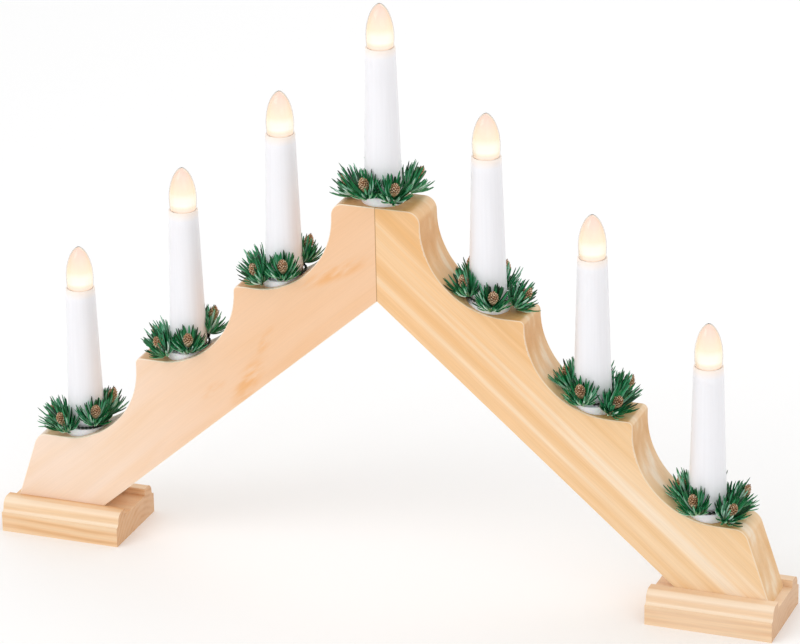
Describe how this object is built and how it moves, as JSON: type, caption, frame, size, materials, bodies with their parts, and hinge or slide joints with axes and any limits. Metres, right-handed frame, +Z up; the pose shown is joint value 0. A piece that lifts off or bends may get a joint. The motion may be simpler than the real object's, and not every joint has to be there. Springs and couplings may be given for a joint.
{
  "type": "candle arch",
  "caption": "Stepped wooden candle arch on moulded feet, with electric candles rising to the apex and a small pine-needle wreath round the foot of each candle.",
  "frame": {"origin": "on the table under the apex, midway between the feet and in the middle of the arms' thickness", "axes": "+X along the arch to the right seen from the front, +Y to the back, +Z up"},
  "size_m": [0.4478, 0.051, 0.3245],
  "materials": {
    "pine_arm": "clear matt lacquer on planed pine",
    "pine_foot": "clear matt lacquer on moulded pine",
    "beech_dowel": "plain fluted beech",
    "zinc_screw": "zinc plated",
    "holder_plastic": "moulded white",
    "sleeve_plastic": "satin white",
    "bulb_glass": "opal",
    "plated_brass": "pressed and plated",
    "ring_wire": "dark green coated wire",
    "needle_plastic": "moulded green",
    "cone_brown": "brown with gold-tipped scales",
    "lead_pvc": "white insulated lead",
    "grommet_rubber": "moulded"
  },
  "bodies": {
    "arch": {"left_arm": "pine_arm", "right_arm": "pine_arm", "left_foot": "pine_foot", "right_foot": "pine_foot", "mitre_dowels": "beech_dowel", "foot_screws": "zinc_screw", "socket_shells": "plated_brass", "socket_contacts": "plated_brass", "wiring": "lead_pvc", "wire_staples": "zinc_screw", "cord_grommet": "grommet_rubber", "lamp_holder_1": "holder_plastic", "lamp_holder_2": "holder_plastic", "lamp_holder_3": "holder_plastic", "lamp_holder_4": "holder_plastic", "lamp_holder_5": "holder_plastic", "lamp_holder_6": "holder_plastic", "lamp_holder_7": "holder_plastic", "candle_tube_1": "sleeve_plastic", "candle_tube_2": "sleeve_plastic", "candle_tube_3": "sleeve_plastic", "candle_tube_4": "sleeve_plastic", "candle_tube_5": "sleeve_plastic", "candle_tube_6": "sleeve_plastic", "candle_tube_7": "sleeve_plastic"},
    "bulb_1": {"bulb_glass_1": "bulb_glass", "bulb_base_1": "plated_brass"},
    "wreath_1": {"wreath_ring_1": "ring_wire", "sprigs_1": "needle_plastic", "cones_1": "cone_brown"},
    "bulb_2": {"bulb_glass_2": "bulb_glass", "bulb_base_2": "plated_brass"},
    "wreath_2": {"wreath_ring_2": "ring_wire", "sprigs_2": "needle_plastic", "cones_2": "cone_brown"},
    "bulb_3": {"bulb_glass_3": "bulb_glass", "bulb_base_3": "plated_brass"},
    "wreath_3": {"wreath_ring_3": "ring_wire", "sprigs_3": "needle_plastic", "cones_3": "cone_brown"},
    "bulb_4": {"bulb_glass_4": "bulb_glass", "bulb_base_4": "plated_brass"},
    "wreath_4": {"wreath_ring_4": "ring_wire", "sprigs_4": "needle_plastic", "cones_4": "cone_brown"},
    "bulb_5": {"bulb_glass_5": "bulb_glass", "bulb_base_5": "plated_brass"},
    "wreath_5": {"wreath_ring_5": "ring_wire", "sprigs_5": "needle_plastic", "cones_5": "cone_brown"},
    "bulb_6": {"bulb_glass_6": "bulb_glass", "bulb_base_6": "plated_brass"},
    "wreath_6": {"wreath_ring_6": "ring_wire", "sprigs_6": "needle_plastic", "cones_6": "cone_brown"},
    "bulb_7": {"bulb_glass_7": "bulb_glass", "bulb_base_7": "plated_brass"},
    "wreath_7": {"wreath_ring_7": "ring_wire", "sprigs_7": "needle_plastic", "cones_7": "cone_brown"}
  },
  "joints": [
    {"name": "bulb_1_pull", "type": "slide", "parent": "arch", "child": "bulb_1", "axis": [0, 0, 1], "range_m": [0, 0.045]},
    {"name": "wreath_1_lift", "type": "slide", "parent": "arch", "child": "wreath_1", "axis": [0, 0, 1], "range_m": [0, 0.115]},
    {"name": "bulb_2_pull", "type": "slide", "parent": "arch", "child": "bulb_2", "axis": [0, 0, 1], "range_m": [0, 0.045]},
    {"name": "wreath_2_lift", "type": "slide", "parent": "arch", "child": "wreath_2", "axis": [0, 0, 1], "range_m": [0, 0.115]},
    {"name": "bulb_3_pull", "type": "slide", "parent": "arch", "child": "bulb_3", "axis": [0, 0, 1], "range_m": [0, 0.045]},
    {"name": "wreath_3_lift", "type": "slide", "parent": "arch", "child": "wreath_3", "axis": [0, 0, 1], "range_m": [0, 0.115]},
    {"name": "bulb_4_pull", "type": "slide", "parent": "arch", "child": "bulb_4", "axis": [0, 0, 1], "range_m": [0, 0.045]},
    {"name": "wreath_4_lift", "type": "slide", "parent": "arch", "child": "wreath_4", "axis": [0, 0, 1], "range_m": [0, 0.115]},
    {"name": "bulb_5_pull", "type": "slide", "parent": "arch", "child": "bulb_5", "axis": [0, 0, 1], "range_m": [0, 0.045]},
    {"name": "wreath_5_lift", "type": "slide", "parent": "arch", "child": "wreath_5", "axis": [0, 0, 1], "range_m": [0, 0.115]},
    {"name": "bulb_6_pull", "type": "slide", "parent": "arch", "child": "bulb_6", "axis": [0, 0, 1], "range_m": [0, 0.045]},
    {"name": "wreath_6_lift", "type": "slide", "parent": "arch", "child": "wreath_6", "axis": [0, 0, 1], "range_m": [0, 0.115]},
    {"name": "bulb_7_pull", "type": "slide", "parent": "arch", "child": "bulb_7", "axis": [0, 0, 1], "range_m": [0, 0.045]},
    {"name": "wreath_7_lift", "type": "slide", "parent": "arch", "child": "wreath_7", "axis": [0, 0, 1], "range_m": [0, 0.115]}
  ]
}
